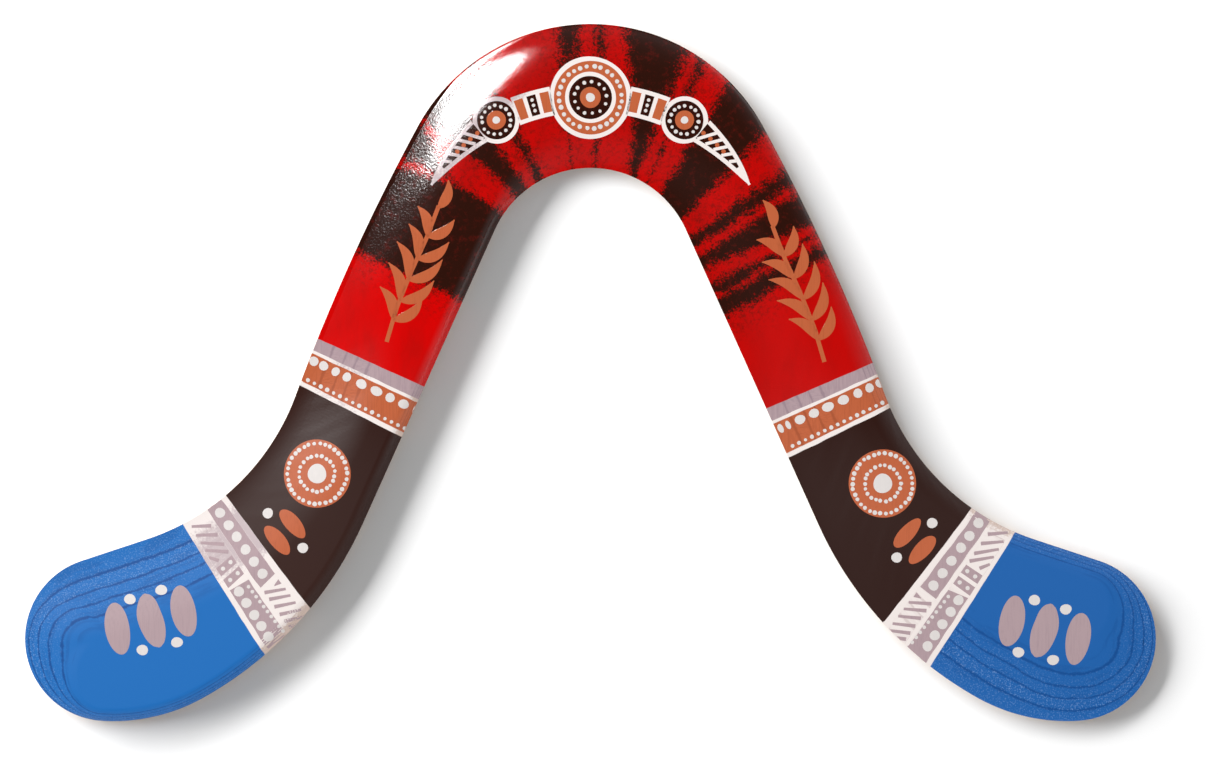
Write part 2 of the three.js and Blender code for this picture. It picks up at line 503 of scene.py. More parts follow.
def brushed_surface(shader, grain):
    """The fine unevenness of brushed lacquer over wood grain, as a height."""
    depth = shader.y.step(*PEEL_RISE, ARM_PEEL_DEPTH, PEEL_DEPTH)
    slow = shader.noise(*SLOW_WAVES) * SLOW_DEPTH
    return shader.noise(*PEEL) * depth + slow + grain * GRAIN_DEPTH


def from_fan_centre(shader):
    """How far a place lies to the east and to the north of the fan's centre."""
    east, north = plan(FAN_CENTRE_PIXEL).tolist()
    return shader.x - east, shader.y - north


def elbow_swell(shader):
    """A height that rounds the outer elbow's bevel towards its rim, none on the flat face.

    It is how much higher a convex bevel would lie at the same place than one that starts flat.
    """
    east, north = from_fan_centre(shader)
    to_east, to_north, _ = shader.facing()
    outer = shader.math("GREATER_THAN", east * to_east + north * to_north, 0.0)
    depth = THICKNESS - TRAILING_RIM
    risen = shader.smaller((shader.z - TRAILING_RIM) * (1 / depth), 1.0)
    risen = shader.larger(risen, SWELL_LEAST_RISE)
    turn = shader.math("ARCSINE", 1.0 - risen * 2.0)
    to_face = shader.math("SINE", turn * (1 / 3)) + 0.5
    rounded = 1.0 - to_face * to_face
    return (rounded - risen) * depth * (outer * shader.y.step(*SWELL_RANGE))


def lacquered(shader, colour, grain):
    """Paint or wood, glossy at the elbow and dull at the tips, with its unevenness as a bump."""
    height = brushed_surface(shader, grain) + elbow_swell(shader)
    bump = shader.value("Bump", {"Distance": MILLIMETRE, "Height": height})
    roughness = shader.y.step(*GLOSS_RISE, DULL_ROUGHNESS, GLOSSY_ROUGHNESS)
    return shader.finished(colour, roughness, SPECULAR_LEVEL, Normal=bump)


# Where the painted bands lie: their corners in the photograph, the tip's side before the elbow's,
# and on each side the end at the outer edge before the end at the crook
WRIST_CORNERS = {
    "left": ((184, 526), (266.8, 657.3), (226.3, 496), (310.4, 608.3)),
    "right": ((1015.5, 530.9), (930.2, 666.4), (971.6, 507.8), (883.1, 623.4)),
}
OCHRE_CORNERS = {
    "left": ((301.4, 383.5), (406.2, 436.3), (320.5, 339.9), (426, 387.4)),
    "right": ((891.6, 404.6), (788.4, 455.1), (871.9, 363.2), (767.4, 408.1)),
}
MIRROR = {"left": 1, "right": -1}
LOWER_LINE_SHARE = 0.0
UPPER_LINE_SHARE = 0.705
LOWER_LINE_WIDTH_SHARE = 0.09
UPPER_LINE_WIDTH_SHARE = 0.062


def in_band(corners, along, across):
    """The pixel at shares of a band: along from the outer edge, across from the tip's side."""
    start_low, end_low, start_high, end_high = (np.array(corner) for corner in corners)
    low = start_low + (end_low - start_low) * along
    high = start_high + (end_high - start_high) * along
    return low + (high - low) * across


def across_line(shader, start, end):
    """The distance from the line through two pixels, growing towards the elbow."""
    first, last = plan(start), plan(end)
    direction = (last - first) / np.linalg.norm(last - first)
    normal = np.array([-direction[1], direction[0]])
    if normal[1] < 0:
        normal = -normal
    inputs = {0: shader.place, 1: (*normal, 0)}
    product = shader.value("VectorMath", inputs, "Value", operation="DOT_PRODUCT")
    return product - float(normal @ first)


# The fields from the tip to the arm: each starts at a share across one of the bands
FIELDS = (
    (WRIST_CORNERS, 0.0, "white"),
    (WRIST_CORNERS, 1.0, "black"),
    (OCHRE_CORNERS, LOWER_LINE_SHARE - LOWER_LINE_WIDTH_SHARE / 2, "white"),
    (OCHRE_CORNERS, LOWER_LINE_SHARE + LOWER_LINE_WIDTH_SHARE / 2, "ochre"),
    (OCHRE_CORNERS, UPPER_LINE_SHARE - UPPER_LINE_WIDTH_SHARE / 2, "white"),
    (OCHRE_CORNERS, UPPER_LINE_SHARE + UPPER_LINE_WIDTH_SHARE / 2, "mauve"),
    (OCHRE_CORNERS, 1.0, "red"),
)
BORDER_SOFTNESS = 0.12
BORDER_NOISE = (0.2, 3.0, 0.6)
BORDER_WOBBLE = 0.35

# The sponged elbow: angles in degrees round the fan's centre, and on along the arms past its limit
FAN_CENTRE_PIXEL = (590.4, 305)
FAN_LIMIT_DEGREES = 62
ARM_DEGREE_RADIUS = 165 * PIXEL
CROOK_RADIUS = 135 * PIXEL
BLADE_WIDTH = 147 * PIXEL

# Each black stroke: its angle at the crook and at the outer edge, and its half widths there.
# A half width under zero ends the stroke on the way.
BLACK_STROKES = (
    (-63, -71.5, 19.5, 13.5),
    (-50, -46.5, -3, 8),
    (-31.8, -39, 3.6, 6),
    (-22, -27, 2.2, 1.0),
    (-8, -4.2, -0.5, 3.2),
    (2, 2, 0.6, 1.4),
    (18.3, 14, 2.0, 7.8),
    (25, 24.5, 0.2, 1.4),
    (39.5, 38.5, 7.8, 7.4),
    (58, 57, 3.0, 2.6),
    (67, 68, 3.2, 8.2),
    (77.5, 77, 2.7, -0.6),
    (84.2, 83, 4.0, 1.8),
)
BLOTS = (0.3, 4.0, 0.6)
BLOT_DEGREES = 6.0
SPECKS = (1.2, 3.0, 0.8)
SPECK_DEGREES = 9.0
STROKE_RANGE = (-1.5, 1.7)
STIPPLE = (0.6, 6.0, 0.8)
STIPPLE_STEP = (0.46, 0.64, 0.0, 0.5)
STIPPLE_RANGE = (-14, -1)


def sponged_black(shader):
    """Where black is sponged over the red, from 0 to 1."""
    east, north = from_fan_centre(shader)
    reach = shader.math("SQRT", east * east + north * north)
    angle = shader.math("ARCTAN2", east, north)
    size = shader.math("ABSOLUTE", angle)
    limit = math.radians(FAN_LIMIT_DEGREES)
    excess = shader.larger(size - limit, 0.0)
    beyond = reach * shader.math("SINE", excess) * (1 / ARM_DEGREE_RADIUS)
    turned = shader.smaller(size, limit) + beyond
    place = turned * math.degrees(1) * shader.math("SIGN", angle)
    radius = reach * shader.math("COSINE", excess)
    outward = (radius - CROOK_RADIUS) * (1 / BLADE_WIDTH)
    blots = shader.uneven(BLOTS, BLOT_DEGREES)
    ragged = blots + shader.uneven(SPECKS, SPECK_DEGREES)
    deepest = None
    for crook_angle, outer_angle, crook_half, outer_half in BLACK_STROKES:
        middle = shader.blend(outward, crook_angle, outer_angle)
        half = shader.blend(outward, crook_half, outer_half)
        depth = half - shader.math("ABSOLUTE", place - middle)
        deepest = depth if deepest is None else shader.larger(deepest, depth)
    stroke = (deepest + ragged).step(*STROKE_RANGE)
    stipple = shader.noise(*STIPPLE).step(*STIPPLE_STEP)
    near = (deepest + blots).step(*STIPPLE_RANGE)
    return shader.larger(stroke, stipple * near)


# The glue lines under the paint: the lowest one's middle, the step to the next, and how far each
# shows. Fainter lines between them are the growth rings.
FIRST_GLUE_HEIGHT = VENEER_THICKNESS + GLUE_THICKNESS / 2
GLUE_SPACING = VENEER_THICKNESS + GLUE_THICKNESS
CONTOUR_REACH = (0.04, 0.18)
CONTOUR_NOISE = (0.5, 3.0, 0.6)
CONTOUR_UNEVENNESS = 0.3
GROWTH_RINGS = (1.0, 2.0, 0.5, (0.06, 0.06, 2.6))
GROWTH_STEP = (0.52, 0.64, 0.0, 0.3)
BEVEL_TOP_RANGE = (THICKNESS - 0.05, THICKNESS - 0.3)


def glue_contour(shader):
    """How strongly a glue line shows at a height, from 0 to 1, in soft uneven contours."""
    level = shader.larger(shader.z, FIRST_GLUE_HEIGHT - GLUE_SPACING / 2)
    level = shader.smaller(level, THICKNESS - GLUE_SPACING / 2)
    distance = shader.math("PINGPONG", level - FIRST_GLUE_HEIGHT, GLUE_SPACING / 2)
    uneven = shader.uneven(CONTOUR_NOISE, CONTOUR_UNEVENNESS)
    line = (distance + uneven).step(*CONTOUR_REACH, 1.0, 0.0)
    faint = shader.noise(*GROWTH_RINGS).step(*GROWTH_STEP)
    return shader.larger(line, faint) * shader.z.step(*BEVEL_TOP_RANGE)


# Wear of the white paint on steep edges, and painted shade on its bevels that face north-west, by the
# way that the surface faces
WEAR_NOISE = (1.2, 4.0, 0.6)
WEAR_RAGGEDNESS = 0.5
WORN_RANGE = (0.8, 0.6)
WORN_SHARE = 0.55
# Painted shade on the white: how ragged its edge is, how far the surface must face north-west, and
# how much
SHADE_RAGGEDNESS = 0.3
SHADE_FACING_RANGE = (0.06, 0.14)
SHADE_SHARE = 0.8


def worn_and_shaded(shader, colour):
    """White paint worn thin on steep edges, with painted shade, darker and lavender, on bevels that
    face north-west.
    """
    east, north, up = shader.facing()
    ragged = shader.uneven(WEAR_NOISE, WEAR_RAGGEDNESS)
    worn = (up + ragged).step(*WORN_RANGE)
    north_west = shader.smaller(north, east * -1.0)
    # Painted shade: white on bevels that face north-west, towards the light, is painted darker and
    # lavender
    painted_shade = (north_west + ragged * SHADE_RAGGEDNESS).step(*SHADE_FACING_RANGE)
    colour = shader.mix(painted_shade * SHADE_SHARE, colour, SHADED_WHITE)
    return shader.mix(worn * WORN_SHARE, colour, WORN_WHITE)


# How the fields' paint varies, with painted light and shade towards the left and right ends
STREAK_STEP = (0.42, 0.68, 0.0, 0.4)
CONTOUR_SHARE = 0.7
WHITE_CONTOUR_SHARE = 0.6
# Painted light: where the red grows brighter towards the left
LEFT_LIT_RED_RANGE = (-30, -62)
# Where the blue grows darker towards the right, partly painted shade
RIGHT_BLUE_RANGE = (-60, 100)
# Painted sheen: where the black fields grow lighter towards the left
LEFT_SHEEN_RANGE = (-50, -110)
CLOUDS = (0.06, 4.0, 0.6, (1, 0.4, 1))
CLOUD_STEP = (0.35, 0.8, 0.0, 0.7)
RUBBING = (0.35, 6.0, 0.75)
RUBBED_STEP = (0.5, 0.7, 0.0, 0.7)
FLECKS = (2.0, 3.0, 0.65)
FLECK_STEP = (0.5, 0.7)
FLECK_HEIGHT_RANGE = (THICKNESS, THICKNESS / 3)


def field_colours(shader, grain, contour):
    """The paint of each field, with the grain, the brush and the plies showing in it."""
    shaded = shader.larger(grain.step(*STREAK_STEP), contour * CONTOUR_SHARE)
    white = shader.mix(contour * WHITE_CONTOUR_SHARE, CREAM, DEEP_CREAM)
    red = shader.mix(shader.x.step(*LEFT_LIT_RED_RANGE), RED, LEFT_LIT_RED)
    red = shader.mix(shader.noise(*CLOUDS).step(*CLOUD_STEP), red, DEEP_RED)
    black = shader.mix(shader.noise(*RUBBING).step(*RUBBED_STEP), BLACK_BROWN, WORN_BLACK)
    return {
        "white": worn_and_shaded(shader, white),
        "black": shader.mix(shader.x.step(*LEFT_SHEEN_RANGE), BLACK_BROWN, LEFT_SHEEN_BLACK),
        "ochre": shader.mix(shaded, OCHRE, DEEP_OCHRE),
        "mauve": shader.mix(shaded, MAUVE, DEEP_MAUVE),
        "red": shader.mix(sponged_black(shader), red, black),
    }


def painted_fields(shader, grain, speckle):
    """The blade's paint: blue tips, then each field in turn up to the sponged elbow."""
    contour = glue_contour(shader)
    # Pale flecks on the bevels below the face: sanded grain showing, and partly painted glints where
    # light catches it
    flecks_and_glints = shader.noise(*FLECKS).step(*FLECK_STEP) * shader.z.step(*FLECK_HEIGHT_RANGE)
    blue = shader.mix(shader.x.step(*RIGHT_BLUE_RANGE), BLUE, RIGHT_BLUE)
    blue = shader.mix(contour, blue, DEEP_BLUE)
    colour = shader.mix(flecks_and_glints * speckle, blue, PALE_BLUE_GRAIN_AND_GLINT)
    colours = field_colours(shader, grain, contour)
    wobble = shader.uneven(BORDER_NOISE, BORDER_WOBBLE)
    right_side = shader.math("GREATER_THAN", shader.x, 0.0)
    for corners, share, name in FIELDS:
        passed = []
        for side in ("left", "right"):
            start, end = (in_band(corners[side], along, share) for along in (0, 1))
            distance = across_line(shader, start, end) + wobble
            passed.append(distance.step(-BORDER_SOFTNESS, BORDER_SOFTNESS))
        colour = shader.mix(shader.blend(right_side, *passed), colour, colours[name])
    return colour


# The materials
# How strongly each ply shows the pale flecks: sanded grain and partly painted glints
LONG_PLY_SPECKLE = 0.5
CROSS_PLY_SPECKLE = 0.75
GLUE_SPECKLE = 0.0
PINE_BANDS = (0.12, 3.0, 0.6, (1, 0.08, 1))
PINE_BAND_RANGE = (0.42, 0.6)
PINE_GRAIN_STEP = (0.5, 0.75, 0.0, 0.5)
PAINT_EDGE_NOISE = (0.5, 3.0, 0.5)
PAINT_EDGE_WAVES = 0.15
PAINT_EDGE_RANGE = (0.2, 0.3)
MOTTLE_STEP = (0.45, 0.75, 0.0, 0.3)


def painted_ply(name, stretch, speckle):
    """Paint over a sanded ply, whose grain runs the way it is stretched."""
    shader = Shader(name)
    grain = wood_grain(shader, stretch)
    return lacquered(shader, painted_fields(shader, grain, speckle), grain)


def back_ply():
    """The lowest ply: painted on its rim and bevel, bare varnished pine underneath."""
    shader = Shader("pine_back_and_painted_rim")
    grain = wood_grain(shader, ALONG_Y)
    paint = painted_fields(shader, grain, LONG_PLY_SPECKLE)
    wood = shader.mix(shader.noise(*PINE_BANDS).step(*PINE_BAND_RANGE), PINE, PINE_GRAIN)
    wood = shader.mix(grain.step(*PINE_GRAIN_STEP), wood, PINE_GRAIN)
    edge = shader.z + shader.noise(*PAINT_EDGE_NOISE) * PAINT_EDGE_WAVES
    return lacquered(shader, shader.mix(edge.step(*PAINT_EDGE_RANGE), wood, paint), grain)


def ornament_paint(name, colour, deeper):
    """Brushed paint for a raised ornament."""
    shader = Shader(name)
    grain = wood_grain(shader, ALONG_Y)
    return lacquered(shader, shader.mix(grain.step(*MOTTLE_STEP), colour, deeper), grain)


def worn_and_shaded_paint(name, colour):
    """Ornament paint worn on steep edges and with painted shade on bevels that face north-west, like
    the white fields.
    """
    shader = Shader(name)
    return lacquered(shader, worn_and_shaded(shader, colour), wood_grain(shader, ALONG_Y))


# The plies and the glue lines
LONG_PLY = painted_ply("paint_on_long_grain", ALONG_Y, LONG_PLY_SPECKLE)
CROSS_PLY = painted_ply("paint_on_cross_grain", ALONG_X, CROSS_PLY_SPECKLE)
GLUE = painted_ply("paint_on_glue_line", ALONG_Y, GLUE_SPECKLE)
PLIES = (
    ("back_veneer", "bare_wood", back_ply()),
    ("lower_crossband", "painted_veneer", CROSS_PLY),
    ("core_veneer", "painted_veneer", LONG_PLY),
    ("upper_crossband", "painted_veneer", CROSS_PLY),
    ("face_veneer", "painted_face", LONG_PLY),
)
GLUE_LINES = ("back_glue_line", "lower_glue_line", "upper_glue_line", "face_glue_line")

bottom = 0.0
for index, (node, slot, material) in enumerate(PLIES):
    top = bottom + VENEER_THICKNESS
    if index == 0:
        rings = foot_rings(top)
        sharp = (ROUND_ROWS, ROUND_ROWS + 1, len(rings) - 1)
    elif index == VENEER_COUNT - 1:
        rings = [ring(height) for height in closing_heights(bottom, top, FACE_ROWS)]
        sharp = (0,)
    else:
        rings = [ring(height) for height in np.linspace(bottom, top, PLY_ROWS + 1)]
        sharp = (0, PLY_ROWS)
    add_layer(node, rings, material, sharp)
    bottom = top + GLUE_THICKNESS
    if index < len(GLUE_LINES):
        rings = [ring(top, GLUE_GROOVE), ring(bottom, GLUE_GROOVE)]
        add_layer(GLUE_LINES[index], rings, GLUE, (0, 1))

skin = BVHTree.FromPolygons(np.concatenate(skin_points).tolist(), skin_faces)


# Draping paint
RAY_START = THICKNESS * 3
EDGE_MARGIN = 0.12
BURIED = 0.08
FILM_RISE = 0.03
LINE_RISE = 0.04
DOT_RISE = 0.06
EDGE_RISE_SHARE = 0.5
SHOULDER_RISE_SHARE = 0.8
EDGE_ROUND = 0.04
WIDEST_FILM_EDGE_SHARE = 0.25
WIDEST_DAB_EDGE_SHARE = 0.3
FILM_STEP = 0.9
FEWEST_SEGMENTS = 12
UNEVENNESS = 0.05
SWAY_LENGTHS = (4, 1.7)
SWELL_LENGTHS = (3, 1.3)
ROUNDING_PASSES = 4
CLIP_REACH = 1.6
CLIP_HALVINGS = 16
SHARP_DEGREES = 12
RANDOM_SEED = 11
random_draws = random.Random(RANDOM_SEED)
ornaments = []


def steps_over(length, fewest=2):
    return max(fewest, math.ceil(length / FILM_STEP))


def wave_starts(count):
    return [random_draws.uniform(0, 2 * math.pi) for _ in range(count)]


def waves(gone, lengths, starts):
    return sum(math.sin(gone / length + start) for length, start in zip(lengths, starts))


def shares_across(width):
    """Places across a film as shares of its width, with one close to each rounded edge."""
    edge = min(EDGE_ROUND / width, WIDEST_FILM_EDGE_SHARE)
    return [0.0, *np.linspace(edge, 1 - edge, steps_over(width) + 1), 1.0]


def flat_topped(shares, rise):
    """The film's height at each share across, low at its two edges."""
    return [rise * (EDGE_RISE_SHARE if share in (0.0, 1.0) else 1.0) for share in shares]


def height_at(point):
    """The height of the blade's upper side at a place on the plan, or None beside the blade."""
    hit = skin.ray_cast(Vector((*point, RAY_START)), Vector((0, 0, -1)))[0]
    return None if hit is None else hit.z


def on_blade(point):
    """The place itself where it is on the blade, or the nearest one just inside the edge."""
    height = height_at(point)
    if height is not None:
        return np.array([*point, height])
    nearest = int(np.argmin(((PLACE - point) ** 2).sum(1)))
    pulled = PLACE[nearest] + EDGE_MARGIN * INWARD[nearest]
    height = height_at(pulled)
    return np.array([*pulled, RIM[nearest] if height is None else height])


class Paint:
    """Raised paint of one colour, gathered into one piece."""

    def __init__(self, name, paint):
        self.name = name
        self.material, self.slot = paint
        self.points = []
        self.faces = []
        ornaments.append(self)

    def take(self, points, faces):
        first = len(self.points)
        self.points.extend(points)
        self.faces.extend(tuple(first + index for index in face) for face in faces)

    def slab(self, grid, rises, lift):
        """A closed film over a grid of plan places, rows by columns."""
        base = [on_blade(point) for row in grid for point in row]
        heights = [lift + rise for row in rises for rise in row]
        over = [place + [0, 0, height] for place, height in zip(base, heights)]
        under = [place - [0, 0, BURIED] for place in base]
        deep = len(base)
        numbers = np.arange(deep).reshape(len(grid), -1)
        corners = (numbers[:-1, :-1], numbers[:-1, 1:], numbers[1:, 1:], numbers[1:, :-1])
        faces = []
        for upper in np.stack(corners, axis=-1).reshape(-1, 4).tolist():
            faces.append(upper)
            faces.append([deep + index for index in upper[::-1]])
        sides = (numbers[0], numbers[1:, -1], numbers[-1, -2::-1], numbers[-2:0:-1, 0])
        rim = np.concatenate(sides).tolist()
        for a, b in zip(rim, rim[1:] + rim[:1]):
            faces.append((b, a, deep + a, deep + b))
        one, two = grid[0][1] - grid[0][0], grid[1][0] - grid[0][0]
        if one[0] * two[1] < one[1] * two[0]:
            faces = [face[::-1] for face in faces]
        self.take(over + under, faces)

    def dab(
        self,
        centre,
        half_length,
        half_width=None,
        axis=(1, 0),
        rise=DOT_RISE,
        lift=0.0,
        unevenness=UNEVENNESS,
    ):
        """A round or oval touch of paint, with radii and place in pixels."""
        half_width = half_width or half_length
        radius = half_length * PIXEL
        segments = max(FEWEST_SEGMENTS, round(2 * math.pi * radius / FILM_STEP))
        edge = min(EDGE_ROUND / radius, WIDEST_DAB_EDGE_SHARE)
        inner = np.linspace(1 - edge, 0, steps_over(radius) + 1)[:-1]
        shares = (1.0, 1 - edge / 2, *inner)
        rises = (EDGE_RISE_SHARE, SHOULDER_RISE_SHARE, *[1.0] * len(inner))
        along = np.array([axis[0], -axis[1]]) / math.hypot(*axis)
        side = np.array([-along[1], along[0]])
        starts = wave_starts(2)
        middle = plan(centre)
        points = []
        for share, risen in zip(shares, rises):
            for segment in range(segments):
                turn = 2 * math.pi * segment / segments
                uneven = math.sin(2 * turn + starts[0]) + math.sin(3 * turn + starts[1])
                swell = share * (1 + unevenness * uneven / 2) * PIXEL
                east = half_length * swell * math.cos(turn)
                north = half_width * swell * math.sin(turn)
                base = on_blade(middle + along * east + side * north)
                points.append(base + [0, 0, lift + rise * risen])
        peak = len(points)
        points.append(on_blade(middle) + [0, 0, lift + rise])
        points += [point - [0, 0, lift + rise + BURIED] for point in points[:segments]]
        pairs = [(segment, (segment + 1) % segments) for segment in range(segments)]
        last = peak - segments
        under = peak + 1
        faces = []
        for row in range(0, last, segments):
            faces += [(row + a, row + b, row + b + segments, row + a + segments) for a, b in pairs]
        faces += [(last + a, last + b, peak) for a, b in pairs]
        faces += [(b, a, under + a, under + b) for a, b in pairs]
        faces.append([under + segment for segment in reversed(range(segments))])
        self.take(points, faces)

    def patch(self, corners, rise=FILM_RISE, lift=0.0, to_edges=(False, False), wobble=0.0):
        """A film between four pixels: start and end of one side, then of the other."""
        low_start, low_end, high_start, high_end = (plan(corner) for corner in corners)
        length = np.linalg.norm(low_end - low_start)
        across = high_start - low_start
        width = np.linalg.norm(across)
        shares = shares_across(width)
        rows = steps_over(length) + 1
        starts = wave_starts(4)
        lines = []
        for share in shares:
            end = low_end + (high_end - low_end) * share
            lines.append(clipped(low_start + across * share, end, to_edges))
        shift = across / width * wobble * PIXEL
        grid, rises = [], []
        for row in range(rows):
            gone = row / (rows - 1)
            sway = waves(gone * length, SWAY_LENGTHS, starts[:2])
            swell = waves(gone * length, SWELL_LENGTHS, starts[2:])
            grid.append(
                [
                    start + (end - start) * gone + shift * (sway / 2 + swell * (share - 0.5))
                    for (start, end), share in zip(lines, shares)
                ]
            )
            end_drop = EDGE_RISE_SHARE if row in (0, rows - 1) else 1.0
            rises.append(flat_topped(shares, rise * end_drop))
        self.slab(grid, rises, lift)

    def stroke(self, path, half_width, rise=FILM_RISE, lift=0.0):
        """A line of one width along a path of pixels."""
        self.ribbon(path, lambda share: half_width, rise, lift)

    def ribbon(self, path, half_width, rise=FILM_RISE, lift=0.0):
        """A band along a path of pixels, whose half width goes by the share along."""
        places = resampled(np.array([plan(pixel) for pixel in path]))
        ways = np.gradient(places, axis=0)
        ways /= np.linalg.norm(ways, axis=1)[:, None]
        sides = np.column_stack([-ways[:, 1], ways[:, 0]])
        halves = [half_width(share) for share in np.linspace(0, 1, len(places))]
        shares = shares_across(2 * max(halves) * PIXEL)
        grid = [
            [place + side * half * PIXEL * (2 * share - 1) for share in shares]
            for place, side, half in zip(places, sides, halves)
        ]
        self.slab(grid, [flat_topped(shares, rise)] * len(grid), lift)

    def finish(self):
        piece = add_piece(self.name, self.points, self.faces, self.material)
        piece.data.set_sharp_from_angle(angle=math.radians(SHARP_DEGREES))


def resampled(places):
    """The same path with its places an even small step apart, and rounded between them."""
    lengths = np.concatenate([[0], np.cumsum(np.linalg.norm(np.diff(places, axis=0), axis=1))])
    wanted = np.linspace(0, lengths[-1], steps_over(lengths[-1], 4) + 1)
    even = np.column_stack([np.interp(wanted, lengths, places[:, k]) for k in range(2)])
    for _ in range(ROUNDING_PASSES):
        even[1:-1] = (even[:-2] + 2 * even[1:-1] + even[2:]) / 4
    return even


def clipped(start, end, to_edges):
    """The line between two places, with the ends that are meant to run to the blade's edge there."""
    middle = (start + end) / 2
    ends = [start, end]
    for index in np.flatnonzero(to_edges):
        inside, outside = middle, middle + (ends[index] - middle) * CLIP_REACH
        for _ in range(CLIP_HALVINGS):
            half_way = (inside + outside) / 2
            if height_at(half_way) is None:
                outside = half_way
            else:
                inside = half_way
        ends[index] = inside
    return ends


# The ornaments' paints, each with its slot
WHITE_PAINT = (ornament_paint("white_dot_paint", WHITE, CREAM), "white_paint")
CREAM_PAINT = (worn_and_shaded_paint("cream_line_paint", CREAM), "white_paint")
OCHRE_PAINT = (ornament_paint("ochre_paint", OCHRE, DEEP_OCHRE), "ochre_paint")
MAUVE_PAINT = (ornament_paint("mauve_paint", MAUVE, DEEP_MAUVE), "mauve_paint")
DARK_PAINT = (ornament_paint("dark_paint", BLACK_BROWN, WORN_BLACK), "dark_paint")
FIELD_WOBBLE = 0.3
DISC_UNEVENNESS = 0.015


def mirrored(side, origin, offsets):
    """The pixels at offsets from an origin, with left and right swapped on the right arm."""
    return [(origin[0] + MIRROR[side] * across, origin[1] + down) for across, down in offsets]


# The blue tips: mauve ovals and white dots, in pixels from each tip's origin as the left one has them
TIP_ORIGIN = {"left": (152.4, 620), "right": (1043.1, 630)}
TIP_OVALS = ((-34, 8.2), (32, -9.3))
TIP_OVAL_RADII = (26.0, 12.3)
TIP_OVAL_AXIS = (-0.19, -0.98)
TIP_BEAN = ((-7.5, -26.5), (-4.5, -17), (-3, -6), (1.5, 6), (4.5, 16), (8.5, 26.5))
TIP_BEAN_HALF_WIDTH = 12.6
LEAST_BEAN_HALF_WIDTH = 1.0
TIP_DOTS = ((-21.8, -21.1), (9.5, -30.3), (-9.1, 29.5), (25.4, 21.8))
TIP_DOT_RADII = (5.9, 5.2)
OVAL_UNEVENNESS = 0.03


def bean_half_width(share):
    half_width = TIP_BEAN_HALF_WIDTH * (1 - (2 * share - 1) ** 2) ** 0.5
    return max(half_width, LEAST_BEAN_HALF_WIDTH)


def paint_tips():
    mauve = Paint("tip_ovals", MAUVE_PAINT)
    white = Paint("tip_dots", WHITE_PAINT)
    for side, origin in TIP_ORIGIN.items():
        axis = mirrored(side, (0, 0), [TIP_OVAL_AXIS])[0]
        for place in mirrored(side, origin, TIP_OVALS):
            mauve.dab(place, *TIP_OVAL_RADII, axis, FILM_RISE, unevenness=OVAL_UNEVENNESS)
        mauve.ribbon(mirrored(side, origin, TIP_BEAN), bean_half_width)
        for place in mirrored(side, origin, TIP_DOTS):
            white.dab(place, *TIP_DOT_RADII)


# The wrist bands, in shares of each band, with widths, radii and wobbles in pixels
STRIP_SHARES = ((0.0, 0.085), (0.89, 1.0))
DIVIDER_SHARES = (0.465, 0.54)
INNER_ROW_SHARES = (0.545, 0.885)
INNER_ROW_END = 0.645
INNER_ROW_DOTS = (0.07, 0.175, 0.272, 0.38, 0.482, 0.584)
INNER_DOT_SHARE = 0.715
TRIANGLE = ((0.69, 0.875), (0.728, 0.875), (0.7, 0.76), (0.706, 0.76))
INNER_HATCH_STARTS = (0.688, 0.744, 0.806, 0.869, 0.926, 0.975)
INNER_HATCH_LEAN = 0.088
INNER_HATCH_SHARES = (0.56, 0.88)
OUTER_HATCH = (
    ((0.032, 0.12), (0.105, 0.44)),
    ((0.095, 0.10), (0.18, 0.45)),
    ((0.152, 0.10), (0.258, 0.45)),
    ((0.21, 0.10), (0.316, 0.44)),
    ((0.262, 0.09), (0.32, 0.21)),
)
SQUARES = (0.378, 0.466)
SQUARE_HALF_LENGTH = 0.031
SQUARE_SHARES = (0.09, 0.455)
SQUARE_DOT_SHARES = (0.195, 0.37)
OUTER_FIELD_START = (0.515, 0.548)
OUTER_FIELD_SHARES = (0.09, 0.465)
BIG_DOTS = (0.562, 0.651, 0.746, 0.832, 0.915)
BIG_DOT_SHARE = 0.212
SMALL_DOTS = 10
SMALL_DOT_RANGE = ((0.583, 0.395), (0.963, 0.45))
HATCH_HALF_WIDTHS = (1.9, 1.3)
STRIP_WOBBLE = 0.25
BAND_DOT_RADIUS = 5.2
SQUARE_DOT_RADIUS = 2.2
SMALL_DOT_RADIUS = 1.9


def hatch_half_width(share):
    first, last = HATCH_HALF_WIDTHS
    return first + (last - first) * share


def band_quad(corners, start, end, low, high):
    """The corners of a patch between two shares along a band and two across it."""
    return [in_band(corners, along, across) for across in (low, high) for along in (start, end)]


def paint_wrist_bands():
    cream = Paint("wrist_band_lines", CREAM_PAINT)
    mauve = Paint("wrist_band_fields", MAUVE_PAINT)
    white = Paint("wrist_band_dots", WHITE_PAINT)
    for corners in WRIST_CORNERS.values():
        for low, high in (*STRIP_SHARES, DIVIDER_SHARES):
            quad = band_quad(corners, 0, 1, low, high)
            cream.patch(quad, LINE_RISE, to_edges=(True, True), wobble=STRIP_WOBBLE)
        paint_inner_row(corners, mauve, white)
        paint_outer_row(corners, mauve, white)


def paint_inner_row(corners, mauve, white):
    """The elbow's side of a wrist band: a field with big dots, a triangle and hatching."""
    quad = band_quad(corners, 0, INNER_ROW_END, *INNER_ROW_SHARES)
    mauve.patch(quad, to_edges=(True, False), wobble=FIELD_WOBBLE)
    for along in INNER_ROW_DOTS:
        white.dab(in_band(corners, along, INNER_DOT_SHARE), BAND_DOT_RADIUS, lift=FILM_RISE)
    mauve.patch([in_band(corners, *corner) for corner in TRIANGLE])
    low, high = INNER_HATCH_SHARES
    for start in INNER_HATCH_STARTS:
        path = (in_band(corners, start, low), in_band(corners, start + INNER_HATCH_LEAN, high))
        mauve.ribbon(path, hatch_half_width)


